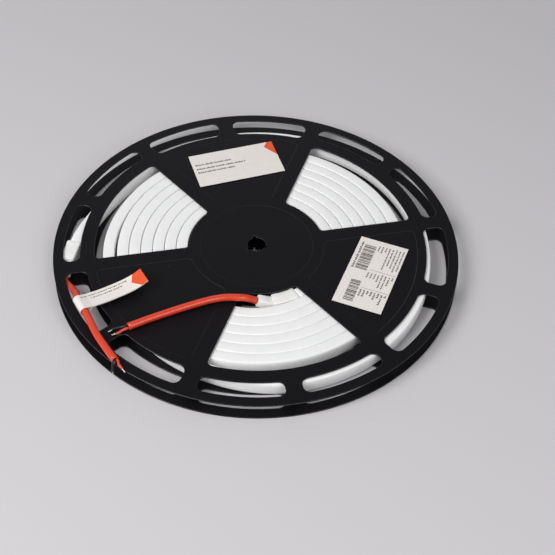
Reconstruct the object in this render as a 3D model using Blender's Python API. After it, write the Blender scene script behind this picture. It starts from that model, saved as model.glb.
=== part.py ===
"""A reel of waterproof LED strip light.

Two flanges moulded with a half drum each, the strip wound between them, an end cap and a two-core lead at
either end of the strip, and the paper labels. Metres, +Z up, origin under the hub on the reel's underside.
"""
from math import asin, atan2, cos, degrees, hypot, pi, radians, sin

import bmesh
import bpy
from mathutils import Matrix, Vector
from mathutils.geometry import interpolate_bezier

# Clearance between two pieces that touch
FIT_GAP = 0.0003

# The strip: its width lies along the reel's axis, its depth along the reel's radius
STRIP_WIDTH = 0.0128
STRIP_DEPTH = 0.0099
DOME_RISE = 0.0034
WOUND_TURNS = 6
GROOVE_DEPTH = 0.0016

# End caps of the strip
CAP_HEIGHT = 0.0132
CAP_DEPTH = 0.0126
CAP_LENGTH = 0.0215
CAP_CORNER = 0.0030
SPIGOT_RADIUS = 0.0046
SPIGOT_TIP_RADIUS = 0.0040

# Flanges
FLANGE_RADIUS = 0.1750
FLANGE_THICKNESS = 0.0012
RIM_WIDTH = 0.0088
SLOT_WIDTH_BY_WINDOW = 0.0141
SLOT_WIDTH_BY_PANEL = 0.0186
BAND_WIDTH = 0.0122
SPOKE_ANGLE = radians(12.9)
SPOKE_WIDTH = 0.0134
CELL_COUNT = 6
SLOTS_PER_CELL = 2
WINDOW_CORNER = 0.0045
SLOT_CORNER = 0.0060
BRIDGE_WIDTH = 0.0139
PANEL_RECESS = 0.0004

# Hub
HUB_RADIUS = 0.0568
HUB_WALL = 0.0018
WINDOW_LEDGE = 0.0015
HUB_HOLE_RADIUS = 0.0079
NOTCH_REACH = 0.0114
NOTCH_WIDTH = 0.0036
NOTCH_COUNT = 3

# Leads: a sheath with two cores, whose last stretch is tinned
SHEATH_RADIUS = 0.0031
CORE_RADIUS = 0.0011
TIP_RADIUS = 0.0007
TIP_LENGTH = 0.0040

# Paper labels: two across recessed panels, at a distance inside the panel's outer edge, and a flag round a lead
PAPER = 0.0003
LABEL_LENGTH = 0.0808
LABEL_WIDTH = 0.0428
FAR_LABEL_PLACE = radians(102.4)
FAR_LABEL_INSET = 0.0343
FAR_LABEL_TURN = radians(19.2)
SIDE_LABEL_PLACE = radians(-17.6)
SIDE_LABEL_INSET = 0.0366
SIDE_LABEL_TURN = radians(70.8)
FLAG_WIDTH = 0.0155
FLAG_HEADING = radians(31.5)
FLAG_LOOP_ROOM = 0.0007
FLAG_LOOP_START = radians(60)
FLAG_LOOP_SWEEP = radians(240)
FLAG_LOOP_STEPS = 12
FLAG_TAIL_STEP = 0.0040

# Levels along the reel's axis
CHANNEL_HEIGHT = CAP_HEIGHT + 2 * FIT_GAP
REEL_HEIGHT = CHANNEL_HEIGHT + 2 * FLANGE_THICKNESS
MIDDLE_Z = REEL_HEIGHT / 2
STRIP_Z = FLANGE_THICKNESS + FIT_GAP + STRIP_WIDTH / 2

# Radii of the flanges' openings, from the rim inwards
SLOT_OUTER = FLANGE_RADIUS - RIM_WIDTH
WINDOW_OUTER = SLOT_OUTER - SLOT_WIDTH_BY_WINDOW - BAND_WIDTH
WINDOW_INNER = HUB_RADIUS + WINDOW_LEDGE

# Radii of the winding: the coil's bore is left for the end cap beside the drum
COIL_INNER = HUB_RADIUS + CAP_DEPTH + 2 * FIT_GAP
TURN_PITCH = STRIP_DEPTH + FIT_GAP
COIL_OUTER = COIL_INNER + WOUND_TURNS * TURN_PITCH - FIT_GAP

# The innermost turn, from its end cap round to where the next turn covers it
INNER_CAP_START = radians(303.8)
INNER_TURN_END = radians(568)

# The loose outermost turn: (degrees round the reel, how far it stands off the coil)
OUTER_TURN_ROUTE = [(234, 0.0), (244, 0.0019), (256, 0.0056), (270, 0.0102), (283, 0.0130), (300, 0.0138),
                    (320, 0.0132), (348, 0.0107), (368, 0.0102), (390, 0.0114), (415, 0.0128), (445, 0.0120),
                    (480, 0.0090), (503, 0.0080), (516, 0.0089), (528, 0.0133)]
OUTER_CAP_SLOT = 5
OUTER_CAP_TURN = radians(3.0)
OUTER_CAP_SETBACK = 0.0010
OUTER_CAP_SPLAY = radians(11)

# Tips of the spigots and routes of the leads, with heights above the upper flange's face
INNER_SPIGOT_TURN = radians(-87.46)
INNER_SPIGOT_STAND_OFF = 0.0065
INNER_SPIGOT_HEIGHT = -0.0026
INNER_LEAD_ROUTE = [(-0.0057, -0.0650, 0.0019), (-0.0112, -0.0661, 0.0034), (-0.0236, -0.0667, 0.0034),
                    (-0.0359, -0.0700, 0.0034), (-0.0478, -0.0751, 0.0034), (-0.0598, -0.0807, 0.0034),
                    (-0.0716, -0.0867, 0.0034), (-0.0832, -0.0927, 0.0034), (-0.0925, -0.0980, 0.0034),
                    (-0.1000, -0.1022, 0.0034)]
INNER_BLACK_ROUTE = [(-0.1049, -0.1022, 0.0026), (-0.1122, -0.1037, 0.0014), (-0.1158, -0.1070, 0.0014)]
INNER_RED_ROUTE = [(-0.1039, -0.1054, 0.0026), (-0.1076, -0.1077, 0.0014), (-0.1124, -0.1100, 0.0014)]
OUTER_SPIGOT_TIP = (-0.1617, -0.0369, -0.0081)
OUTER_LEAD_ROUTE = [(-0.1577, -0.0501, -0.0056), (-0.1514, -0.0587, -0.0026), (-0.1472, -0.0668, 0.0018),
                    (-0.1449, -0.0749, 0.0044), (-0.1407, -0.0818, 0.0044), (-0.1365, -0.0887, 0.0044),
                    (-0.1300, -0.1008, 0.0036), (-0.1238, -0.1122, 0.0034), (-0.1150, -0.1253, 0.0034),
                    (-0.1064, -0.1371, 0.0034)]
FLAG_POINT = 4
OUTER_BLACK_ROUTE = [(-0.1078, -0.1396, 0.0022), (-0.1082, -0.1421, -0.0030), (-0.1082, -0.1423, -0.0085)]
OUTER_RED_ROUTE = [(-0.1033, -0.1405, 0.0032), (-0.1006, -0.1441, 0.0024), (-0.0974, -0.1478, 0.0014)]

# The flag label's tail: (distance from the lead, height above the lead's middle)
FLAG_TAIL = [(0.0075, 0.0016), (0.0220, 0.0008), (0.0400, 0.0016), (0.0500, 0.0036), (0.0575, 0.0068)]

# Fineness of the rounded shapes
ARC_STEP = radians(5)
CORNER_STEPS = 4
DOME_STEPS = 6
CURVE_STEPS = 24
RIM_SEGMENTS = 96
COIL_SEGMENTS = 64


def clear_scene():
    for thing in list(bpy.data.objects):
        bpy.data.objects.remove(thing, do_unlink=True)


def material(name, colour, roughness, metallic=0.0):
    made = bpy.data.materials.new(name)
    made.use_nodes = True
    shader = made.node_tree.nodes["Principled BSDF"]
    shader.inputs["Base Color"].default_value = (*colour, 1.0)
    shader.inputs["Roughness"].default_value = roughness
    shader.inputs["Metallic"].default_value = metallic
    return made


def add_object(name, mesh, finish=None, sharp=radians(30)):
    thing = bpy.data.objects.new(name, mesh)
    bpy.context.collection.objects.link(thing)
    if finish:
        mesh.materials.append(finish)
        mesh.shade_smooth()
        mesh.set_sharp_from_angle(angle=sharp)
    return thing


def mesh_from(name, shape):
    bmesh.ops.recalc_face_normals(shape, faces=shape.faces)
    mesh = bpy.data.meshes.new(name)
    shape.to_mesh(mesh)
    shape.free()
    return mesh


def polar(radius, angle, height=0.0):
    return Vector((radius * cos(angle), radius * sin(angle), height))


def arc(centre, radius, start, end, steps=None):
    steps = steps or max(2, round(abs(end - start) / ARC_STEP))
    return [centre + polar(radius, start + (end - start) * i / steps) for i in range(steps + 1)]


def cell_outline(inner, outer, half_pitch, web, corner):
    """Half of a sector between two webs of parallel sides, mirrored about +X."""
    side = web / 2 + corner
    outer_turn = half_pitch - asin(side / (outer - corner))
    inner_turn = half_pitch - asin(side / (inner + corner))
    outer_centre = polar(outer - corner, outer_turn)
    inner_centre = polar(inner + corner, inner_turn)
    across = half_pitch + pi / 2
    half = arc(Vector(), outer, 0, outer_turn)
    half += arc(outer_centre, corner, outer_turn, across, CORNER_STEPS)[1:]
    half += arc(inner_centre, corner, across, inner_turn + pi, CORNER_STEPS)
    half += arc(Vector(), inner, inner_turn, 0)[1:]
    mirrored = [Vector((p.x, -p.y, 0)) for p in reversed(half[1:-1])]
    return half + mirrored


def hub_hole_outline():
    """A round hole with three V-shaped notches."""
    points = []
    half_notch = asin(NOTCH_WIDTH / 2 / HUB_HOLE_RADIUS)
    for i in range(NOTCH_COUNT):
        notch = SPOKE_ANGLE + pi / 2 + i * 2 * pi / NOTCH_COUNT
        points.append(polar(NOTCH_REACH, notch))
        points += arc(Vector(), HUB_HOLE_RADIUS, notch + half_notch, notch + 2 * pi / NOTCH_COUNT - half_notch)
    return points


def turned(points, angle):
    spin = Matrix.Rotation(angle, 4, "Z")
    return [spin @ p for p in points]


def add_prism(shape, outline, low, high):
    """A closed prism of an outline, its ends as n-gons."""
    base = [shape.verts.new((p.x, p.y, low)) for p in outline]
    face = shape.faces.new(base)
    lifted = bmesh.ops.extrude_face_region(shape, geom=[face])["geom"]
    moved = [v for v in lifted if isinstance(v, bmesh.types.BMVert)]
    bmesh.ops.translate(shape, vec=(0, 0, high - low), verts=moved)


def cutter(name, outlines_and_levels):
    shape = bmesh.new()
    for outline, low, high in outlines_and_levels:
        add_prism(shape, outline, low, high)
    thing = add_object(name, mesh_from(name, shape))
    thing.hide_render = True
    thing.display_type = "WIRE"
    return thing


def cut(thing, tool):
    modifier = thing.modifiers.new(tool.name, "BOOLEAN")
    modifier.operation = "DIFFERENCE"
    modifier.solver = "EXACT"
    modifier.object = tool


def lathe(name, profile, segments):
    """A solid turned about Z from a closed profile of (radius, height) pairs."""
    shape = bmesh.new()
    ring = [shape.verts.new((radius, 0, height)) for radius, height in profile]
    edges = [shape.edges.new((ring[i - 1], ring[i])) for i in range(len(ring))]
    bmesh.ops.spin(shape, geom=ring + edges, cent=(0, 0, 0), axis=(0, 0, 1), angle=2 * pi, steps=segments,
                   use_merge=True)
    bmesh.ops.remove_doubles(shape, verts=shape.verts, dist=1e-6)
    return mesh_from(name, shape)


def slot_angle(number):
    return SPOKE_ANGLE + (2 * number + 1) * pi / (CELL_COUNT * SLOTS_PER_CELL)


def flange_cutters():
    """Windows, slots and hub hole go right through; panels are shallow recesses in the outer faces."""
    through = []
    recessed = []
    half_cell = pi / CELL_COUNT
    window = cell_outline(WINDOW_INNER, WINDOW_OUTER, half_cell, SPOKE_WIDTH, WINDOW_CORNER)
    below = -FLANGE_THICKNESS
    above = REEL_HEIGHT + FLANGE_THICKNESS
    for i in range(CELL_COUNT):
        opening = turned(window, SPOKE_ANGLE + half_cell * (2 * i + 1))
        if i % 2 == 0:
            slot_width = SLOT_WIDTH_BY_WINDOW
            through.append((opening, below, above))
        else:
            slot_width = SLOT_WIDTH_BY_PANEL
            recessed.append((opening, below, PANEL_RECESS))
            recessed.append((opening, REEL_HEIGHT - PANEL_RECESS, above))
        slot = cell_outline(SLOT_OUTER - slot_width, SLOT_OUTER, half_cell / SLOTS_PER_CELL, BRIDGE_WIDTH,
                            SLOT_CORNER)
        for k in range(SLOTS_PER_CELL):
            through.append((turned(slot, slot_angle(i * SLOTS_PER_CELL + k)), below, above))
    through.append((hub_hole_outline(), below, above))
    return cutter("through_cutter", through), cutter("panel_cutter", recessed)


def flange(name, finish, outer_face, inward, cutters):
    """A disc with its half of the drum on the inner side."""
    inner_face = outer_face + inward * FLANGE_THICKNESS
    drum_end = MIDDLE_Z - inward * FIT_GAP / 2
    drum_bore = HUB_RADIUS - HUB_WALL
    centre_hole = HUB_HOLE_RADIUS / 2
    profile = [(drum_bore, drum_end), (HUB_RADIUS, drum_end), (HUB_RADIUS, inner_face),
               (FLANGE_RADIUS, inner_face), (FLANGE_RADIUS, outer_face), (centre_hole, outer_face),
               (centre_hole, inner_face), (drum_bore, inner_face)]
    thing = add_object(name, lathe(name, profile, RIM_SEGMENTS), finish)
    for tool in cutters:
        cut(thing, tool)
    return thing


def coil_profile():
    """Six wound turns: on both ends each turn rounds off towards the next one's back."""
    half = STRIP_WIDTH / 2
    shoulder = STRIP_DEPTH - DOME_RISE
    end = []
    for i in range(WOUND_TURNS):
        back = COIL_INNER + i * TURN_PITCH
        end += [(back, half), (back + shoulder, half), (back + STRIP_DEPTH, half - GROOVE_DEPTH)]
    top = [(radius, STRIP_Z + height) for radius, height in end]
    bottom = [(radius, STRIP_Z - height) for radius, height in reversed(end)]
    return top + bottom


def strip_section():
    """Flat back, flat sides and a domed front, as (outward, upward) pairs about the section's middle."""
    half = STRIP_WIDTH / 2
    front = STRIP_DEPTH / 2 - DOME_RISE
    dome = [(front + DOME_RISE * cos(t), half * sin(t))
            for t in (pi / 2 - pi * i / DOME_STEPS for i in range(DOME_STEPS + 1))]
    return [(-STRIP_DEPTH / 2, -half), (-STRIP_DEPTH / 2, half)] + dome


def smooth_route(points, spacing):
    """Evenly spaced points along a smooth curve through the given ones."""
    slopes = []
    for i in range(len(points)):
        before = points[max(i - 1, 0)]
        after = points[min(i + 1, len(points) - 1)]
        slopes.append((after - before).normalized())
    dense = [points[0]]
    for i in range(len(points) - 1):
        reach = (points[i + 1] - points[i]).length / 3
        first = points[i] + slopes[i] * reach
        second = points[i + 1] - slopes[i + 1] * reach
        dense += interpolate_bezier(points[i], first, second, points[i + 1], CURVE_STEPS)[1:]
    length = sum((b - a).length for a, b in zip(dense, dense[1:]))
    count = max(2, round(length / spacing))
    route = [dense[0]]
    travelled = 0.0
    for a, b in zip(dense, dense[1:]):
        step = (b - a).length
        while len(route) < count and travelled + step >= length * len(route) / count:
            share = (length * len(route) / count - travelled) / step
            route.append(a.lerp(b, share))
        travelled += step
    route.append(dense[-1])
    return route


def tube(name, points, radius, finish, resolution=2, spacing=None):
    curve = bpy.data.curves.new(name, "CURVE")
    curve.dimensions = "3D"
    curve.bevel_depth = radius
    curve.bevel_resolution = resolution
    curve.use_fill_caps = True
    route = smooth_route(points, spacing or 4 * radius)
    spline = curve.splines.new("POLY")
    spline.points.add(len(route) - 1)
    for spot, point in zip(spline.points, route):
        spot.co = (*point, 1.0)
    thing = bpy.data.objects.new(name, curve)
    bpy.context.collection.objects.link(thing)
    curve.materials.append(finish)
    return thing


def rounded_section(depth, height, corner):
    """A rounded rectangle, as (outward, upward) pairs."""
    points = []
    for i, (side_a, side_b) in enumerate(((1, 1), (-1, 1), (-1, -1), (1, -1))):
        centre = Vector((side_a * (depth / 2 - corner), side_b * (height / 2 - corner), 0))
        points += arc(centre, corner, i * pi / 2, (i + 1) * pi / 2, CORNER_STEPS - 1)
    return [(point.x, point.y) for point in points]


def round_section(radius):
    return rounded_section(2 * radius, 2 * radius, radius)


def loft(name, stations, finish):
    """A closed solid through stations of (centre, section's two axes, section)."""
    shape = bmesh.new()
    rings = []
    for centre, (outward, upward), section in stations:
        rings.append([shape.verts.new(centre + outward * a + upward * b) for a, b in section])
    for first, second in zip(rings, rings[1:]):
        for i in range(len(first)):
            shape.faces.new((first[i - 1], first[i], second[i], second[i - 1]))
    shape.faces.new(rings[0])
    shape.faces.new(list(reversed(rings[-1])))
    return add_object(name, mesh_from(name, shape), finish)


def heading(path, i):
    return (path[min(i + 1, len(path) - 1)] - path[max(i - 1, 0)]).normalized()


def axes_across(ahead):
    """The horizontal axis to the right of a heading, and the one square to both."""
    outward = ahead.cross(Vector((0, 0, 1))).normalized()
    return outward, outward.cross(ahead).normalized()


def along_path(path, section):
    return [(point, axes_across(heading(path, i)), section) for i, point in enumerate(path)]


def round_the_hub(radius, height, start, end, section):
    """Stations on an arc about the reel's axis, each squarely across it."""
    way = 1 if end > start else -1
    stations = []
    for point in arc(Vector(), radius, start, end):
        radial = point.normalized()
        stations.append((point + Vector((0, 0, height)), (radial * way, Vector((0, 0, 1))), section))
    return stations


def cap_section():
    return rounded_section(CAP_DEPTH, CAP_HEIGHT, CAP_CORNER)


def end_cap(name, stations, spigot_tip, finish):
    """The cap's body, then a spigot that tapers to the lead."""
    root, across, _ = stations[-1]
    along = (spigot_tip - root).normalized()
    stations.append((root, across, round_section(SPIGOT_RADIUS)))
    stations.append((spigot_tip, axes_across(along), round_section(SPIGOT_TIP_RADIUS)))
    loft(name, stations, finish)
    return spigot_tip, along


def on_reel(x, y, height):
    """A point given by its height above the upper flange's face."""
    return Vector((x, y, REEL_HEIGHT + height))


def inner_turn(finish):
    """The turn beside the drum and its end cap, which curves round the drum with it."""
    middle = COIL_INNER - FIT_GAP - STRIP_DEPTH / 2
    loft("strip_inner_turn", round_the_hub(middle, STRIP_Z, INNER_CAP_START, INNER_TURN_END, strip_section()), finish)


def inner_cap(finish):
    middle = HUB_RADIUS + FIT_GAP + CAP_DEPTH / 2
    start = INNER_CAP_START - FIT_GAP / middle
    stations = round_the_hub(middle, MIDDLE_Z, start, start - CAP_LENGTH / middle, cap_section())
    tip = polar(HUB_RADIUS + INNER_SPIGOT_STAND_OFF, INNER_SPIGOT_TURN, REEL_HEIGHT + INNER_SPIGOT_HEIGHT)
    return end_cap("end_cap_inner", stations, tip, finish)


def outer_cap_axis():
    """Where the outer cap starts, and the way it points out of the channel."""
    start = slot_angle(OUTER_CAP_SLOT) + OUTER_CAP_TURN
    ahead = polar(1, start + pi / 2 - OUTER_CAP_SPLAY)
    radius = SLOT_OUTER - SLOT_WIDTH_BY_WINDOW / 2 - OUTER_CAP_SETBACK
    return polar(radius, start, MIDDLE_Z), ahead


def stand_off(route, angle):
    """How far the loose turn stands off the coil, on a smooth curve through its route."""
    i = max(k for k in range(len(route) - 1) if route[k][0] <= angle)
    before, here, there = route[max(i - 1, 0)], route[i], route[i + 1]
    after = route[min(i + 2, len(route) - 1)]
    span = there[0] - here[0]
    leaving = (there[1] - before[1]) / (there[0] - before[0]) * span
    arriving = (after[1] - here[1]) / (after[0] - here[0]) * span
    t = (angle - here[0]) / span
    return ((2 * t**3 - 3 * t**2 + 1) * here[1] + (t**3 - 2 * t**2 + t) * leaving
            + (3 * t**2 - 2 * t**3) * there[1] + (t**3 - t**2) * arriving)


def outer_turn(finish):
    """The last turn leaves the coil, lies loose in the channel and ends in the outer cap."""
    seated = COIL_OUTER + FIT_GAP + STRIP_DEPTH / 2
    cap_start, ahead = outer_cap_axis()
    inward = -axes_across(ahead)[0] * (CAP_DEPTH - STRIP_DEPTH) / 2
    strip_end = cap_start + inward - ahead * FIT_GAP
    strip_end.z = STRIP_Z
    before_end = strip_end - ahead * STRIP_DEPTH
    full_turn = degrees(2 * pi)
    route = list(OUTER_TURN_ROUTE)
    for point in (before_end, strip_end):
        angle = degrees(atan2(point.y, point.x)) % full_turn + full_turn
        route.append((angle, hypot(point.x, point.y) - seated))
    first = route[0][0]
    last = route[-2][0]
    steps = round((last - first) / degrees(ARC_STEP))
    angles = [first + (last - first) * i / steps for i in range(steps + 1)]
    path = [polar(seated + stand_off(route, angle), radians(angle), STRIP_Z) for angle in angles]
    loft("strip_outer_turn", along_path(path + [strip_end], strip_section()), finish)


def outer_cap(finish):
    start, ahead = outer_cap_axis()
    stations = along_path([start, start + ahead * CAP_LENGTH], cap_section())
    return end_cap("end_cap_outer", stations, on_reel(*OUTER_SPIGOT_TIP), finish)


def lead(side, spigot, sheath_route, core_routes, finishes):
    """A sheath from the cap's spigot, and the cores that come out of its far end with tinned tips."""
    spigot_tip, along = spigot
    route = [spigot_tip + along * FIT_GAP, spigot_tip + along * 1.5 * SHEATH_RADIUS]
    route += [on_reel(*point) for point in sheath_route]
    tube(f"lead_{side}_sheath", route, SHEATH_RADIUS, finishes["sheath"], 3, 2 * SHEATH_RADIUS)
    mouth = route[-1]
    ahead = (route[-1] - route[-2]).normalized()
    aside = axes_across(ahead)[0]
    for colour, core_route, side_step in core_routes:
        start = mouth + ahead * FIT_GAP + aside * side_step
        points = [start, start + ahead * 2 * CORE_RADIUS] + [on_reel(*point) for point in core_route]
        back = (points[-2] - points[-1]).normalized()
        tip = [points[-1] + back * (TIP_LENGTH - FIT_GAP), points[-1]]
        insulated = points[:-1] + [points[-1] + back * TIP_LENGTH]
        tube(f"lead_{side}_core_{colour}", insulated, CORE_RADIUS, finishes[colour], 2, 3 * CORE_RADIUS)
        tube(f"lead_{side}_tip_{colour}", tip, TIP_RADIUS, finishes["tinned"], 2, TIP_LENGTH)


def label(name, place, inset, turn, finish):
    """A label across a recessed panel, carried by the raised edges round it."""
    shape = bmesh.new()
    corners = [Vector((a * LABEL_LENGTH / 2, b * LABEL_WIDTH / 2, 0)) for a, b in ((-1, -1), (1, -1), (1, 1), (-1, 1))]
    middle = Matrix.Translation(polar(WINDOW_OUTER - inset, place))
    placed = [middle @ Matrix.Rotation(turn, 4, "Z") @ corner for corner in corners]
    underside = REEL_HEIGHT + FIT_GAP
    add_prism(shape, placed, underside, underside + PAPER)
    return add_object(name, mesh_from(name, shape), finish)


def flag_label(finish):
    """One strip of paper: in along the tail's upper layer, round the lead and out along the lower one."""
    along = polar(1, FLAG_HEADING)
    width_axis = polar(1, FLAG_HEADING - pi / 2)
    lead_middle = on_reel(*OUTER_LEAD_ROUTE[FLAG_POINT])
    tail = smooth_route([Vector((a, 0, b)) for a, b in FLAG_TAIL], FLAG_TAIL_STEP)
    layer = (PAPER + FIT_GAP) / 2
    upper = []
    lower = []
    for i, point in enumerate(tail):
        ahead = heading(tail, i)
        normal = Vector((-ahead.z, 0, ahead.x))
        upper.append(point + normal * layer)
        lower.append(point - normal * layer)
    loop_radius = SHEATH_RADIUS + FLAG_LOOP_ROOM + PAPER / 2
    loop_end = FLAG_LOOP_START + FLAG_LOOP_SWEEP
    loop = [Vector((point.x, 0, point.y)) for point in
            arc(Vector(), loop_radius, FLAG_LOOP_START, loop_end, FLAG_LOOP_STEPS)]
    flat = list(reversed(upper)) + loop + lower
    path = [lead_middle + along * point.x + Vector((0, 0, point.z)) for point in flat]
    half = FLAG_WIDTH / 2
    section = [(-half, -PAPER / 2), (half, -PAPER / 2), (half, PAPER / 2), (-half, PAPER / 2)]
    stations = []
    for i, point in enumerate(path):
        stations.append((point, (width_axis, width_axis.cross(heading(path, i))), section))
    return loft("flag_label", stations, finish)


def build():
    clear_scene()
    black = material("black_moulded_plastic", (0.014, 0.014, 0.015), 0.42)
    silicone = material("white_silicone", (0.80, 0.80, 0.79), 0.38)
    paper = material("label_paper", (0.74, 0.72, 0.69), 0.60)
    finishes = {
        "sheath": material("red_silicone_sheath", (0.62, 0.06, 0.03), 0.45),
        "red": material("red_core_insulation", (0.60, 0.08, 0.04), 0.45),
        "black": material("black_core_insulation", (0.02, 0.02, 0.02), 0.45),
        "tinned": material("tinned_copper", (0.75, 0.74, 0.72), 0.25, 1.0),
    }
    cutters = flange_cutters()
    flange("flange_lower", black, 0.0, 1, cutters)
    flange("flange_upper", black, REEL_HEIGHT, -1, cutters)
    add_object("strip_coil", lathe("strip_coil", coil_profile(), COIL_SEGMENTS), silicone)
    inner_turn(silicone)
    outer_turn(silicone)
    core_step = CORE_RADIUS + FIT_GAP
    lead("inner", inner_cap(silicone), INNER_LEAD_ROUTE,
         [("black", INNER_BLACK_ROUTE, core_step), ("red", INNER_RED_ROUTE, -core_step)], finishes)
    lead("outer", outer_cap(silicone), OUTER_LEAD_ROUTE,
         [("black", OUTER_BLACK_ROUTE, core_step), ("red", OUTER_RED_ROUTE, -core_step)], finishes)
    label("label_far", FAR_LABEL_PLACE, FAR_LABEL_INSET, FAR_LABEL_TURN, paper)
    label("label_side", SIDE_LABEL_PLACE, SIDE_LABEL_INSET, SIDE_LABEL_TURN, paper)
    flag_label(paper)


build()
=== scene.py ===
"""Looks of a reel of waterproof LED strip: the reel, the wound strip, its end caps, leads and labels.

Metres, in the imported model's frame: +Z up, origin under the hub on the reel's underside.
"""
from math import asin, atan2, ceil, cos, degrees, hypot, pi, radians, sin

import bmesh
import bpy
from mathutils import Matrix, Vector
from mathutils.geometry import interpolate_bezier


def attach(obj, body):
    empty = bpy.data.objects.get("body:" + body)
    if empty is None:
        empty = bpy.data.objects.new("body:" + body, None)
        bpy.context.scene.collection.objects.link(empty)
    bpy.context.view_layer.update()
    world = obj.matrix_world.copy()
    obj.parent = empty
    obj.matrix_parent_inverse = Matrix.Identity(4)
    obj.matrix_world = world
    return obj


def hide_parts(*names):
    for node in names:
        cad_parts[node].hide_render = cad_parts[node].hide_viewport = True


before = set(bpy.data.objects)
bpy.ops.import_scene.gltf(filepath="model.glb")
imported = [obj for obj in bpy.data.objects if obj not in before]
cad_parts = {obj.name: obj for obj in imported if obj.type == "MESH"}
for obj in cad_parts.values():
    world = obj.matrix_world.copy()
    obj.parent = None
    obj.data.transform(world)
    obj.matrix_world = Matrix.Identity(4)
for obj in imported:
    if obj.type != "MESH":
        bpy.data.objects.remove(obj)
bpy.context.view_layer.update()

# Camera
# The reel is seen from the front and from above, with the camera leaning a little to one side.
# Its place is given from the middle of the hub's upper face, in flange radii.
REEL_RADIUS = 0.1750
REEL_HEIGHT = 0.0162
ELEVATION = radians(46.98)
LEAN = radians(2.14)
back = Vector((0, -cos(ELEVATION), sin(ELEVATION)))
level_right = Vector((1, 0, 0))
level_up = back.cross(level_right)
right = level_right * cos(LEAN) + level_up * sin(LEAN)
up = level_up * cos(LEAN) - level_right * sin(LEAN)
eye = Vector((0, 0, REEL_HEIGHT)) + (right * 0.10365 - up * 0.16548 + back * 5.97828) * REEL_RADIUS
camera = bpy.data.objects.new("camera", bpy.data.cameras.new("camera"))
camera.data.lens = 78.16
camera.data.sensor_width = 36.0
camera.data.clip_start = 0.05
camera.matrix_world = Matrix.Translation(eye) @ Matrix((right, up, back)).transposed().to_4x4()
bpy.context.collection.objects.link(camera)
bpy.context.scene.camera = camera

# Flanges
# The reel's two sides are the same moulding in black polystyrene: a thin disc with three open windows,
# three recessed panels, a ring of slots and half of the drum, glued to the other half at the middle.
FLANGE_THICKNESS = 0.0012
RIM_WIDTH = 0.0088
SLOT_BY_WINDOW = 0.0141
SLOT_BY_PANEL = 0.0186
BAND_WIDTH = 0.0122
SPOKE_ANGLE = radians(12.9)
SPOKE_WIDTH = 0.0134
BRIDGE_WIDTH = 0.0139
WINDOW_CORNER = 0.0045
SLOT_CORNER = 0.0060
PANEL_RECESS = 0.0004
PANEL_SLOPE = 0.0004
HUB_DISC_RADIUS = 0.0490
HUB_DISC_STEP = 0.00015
HUB_DISC_SLOPE = 0.0003
HUB_RADIUS = 0.0568
HUB_WALL = 0.0018
HOLE_RADIUS = 0.0079
NOTCH_REACH = 0.0114
NOTCH_WIDTH = 0.0036
EDGE_ROUND = 0.00035
DRUM_GAP = 0.0003
SLOT_OUTER = REEL_RADIUS - RIM_WIDTH
WINDOW_OUTER = SLOT_OUTER - SLOT_BY_WINDOW - BAND_WIDTH
WINDOW_INNER = HUB_RADIUS + 0.0015


def linear(code):
    """An sRGB hex colour as Blender's linear one."""
    channels = [int(code[i:i + 2], 16) / 255 for i in (1, 3, 5)]
    return (*[c / 12.92 if c <= 0.04045 else ((c + 0.055) / 1.055) ** 2.4 for c in channels], 1.0)


def add_node(material, kind, settings, links=None):
    """Adds a node, with values for its properties and sockets, and links into its sockets."""
    node = material.node_tree.nodes.new(kind)
    for name, value in settings.items():
        if isinstance(name, int) or name in node.inputs:
            node.inputs[name].default_value = value
        else:
            setattr(node, name, value)
    for name, source in (links or {}).items():
        material.node_tree.links.new(source, node.inputs[name])
    return node


def finish_with(name, code, roughness):
    """A material with its principled shader and a node for the object's own coordinates."""
    made = bpy.data.materials.new(name)
    made.use_nodes = True
    shader = made.node_tree.nodes["Principled BSDF"]
    shader.inputs["Base Color"].default_value = linear(code)
    shader.inputs["Roughness"].default_value = roughness
    place = add_node(made, "ShaderNodeTexCoord", {}).outputs["Object"]
    return made, shader, place


def show(name, shape, finishes, nodes):
    """Makes the finished mesh an object that rides on the reel and stands for the CAD nodes."""
    mesh = bpy.data.meshes.new(name)
    shape.to_mesh(mesh)
    shape.free()
    for finish in finishes:
        mesh.materials.append(finish)
    piece = bpy.data.objects.new(name, mesh)
    bpy.context.collection.objects.link(piece)
    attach(piece, "root")
    if nodes:
        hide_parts(*nodes)
    return piece


def polar(radius, angle, height=0.0):
    return Vector((radius * cos(angle), radius * sin(angle), height))


def arc(centre, radius, start, end, steps):
    return [centre + polar(radius, start + (end - start) * i / steps) for i in range(steps + 1)]


def cell(inner, outer, half, web, corner, middle):
    """The outline of an opening between two webs with parallel sides, its corners rounded."""
    side = web / 2 + corner
    outer_turn = half - asin(side / (outer - corner))
    inner_turn = half - asin(side / (inner + corner))
    points = arc(Vector(), outer, 0, outer_turn, max(4, round(outer_turn * 40)))
    points += arc(polar(outer - corner, outer_turn), corner, outer_turn, half + pi / 2, 8)[1:]
    points += arc(polar(inner + corner, inner_turn), corner, half + pi / 2, inner_turn + pi, 8)
    points += arc(Vector(), inner, inner_turn, 0, max(4, round(inner_turn * 30)))[1:]
    points += [Vector((p.x, -p.y, 0)) for p in reversed(points[1:-1])]
    return [Matrix.Rotation(middle, 3, "Z") @ p for p in points]


def edge_loop(shape, points, height):
    verts = [shape.verts.new((p.x, p.y, height)) for p in points]
    return [shape.edges.new((verts[i - 1], verts[i])) for i in range(len(verts))]


def once(elements):
    """Each element one time, in the order met. A set's order would change from run to run."""
    return list(dict.fromkeys(elements))


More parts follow.
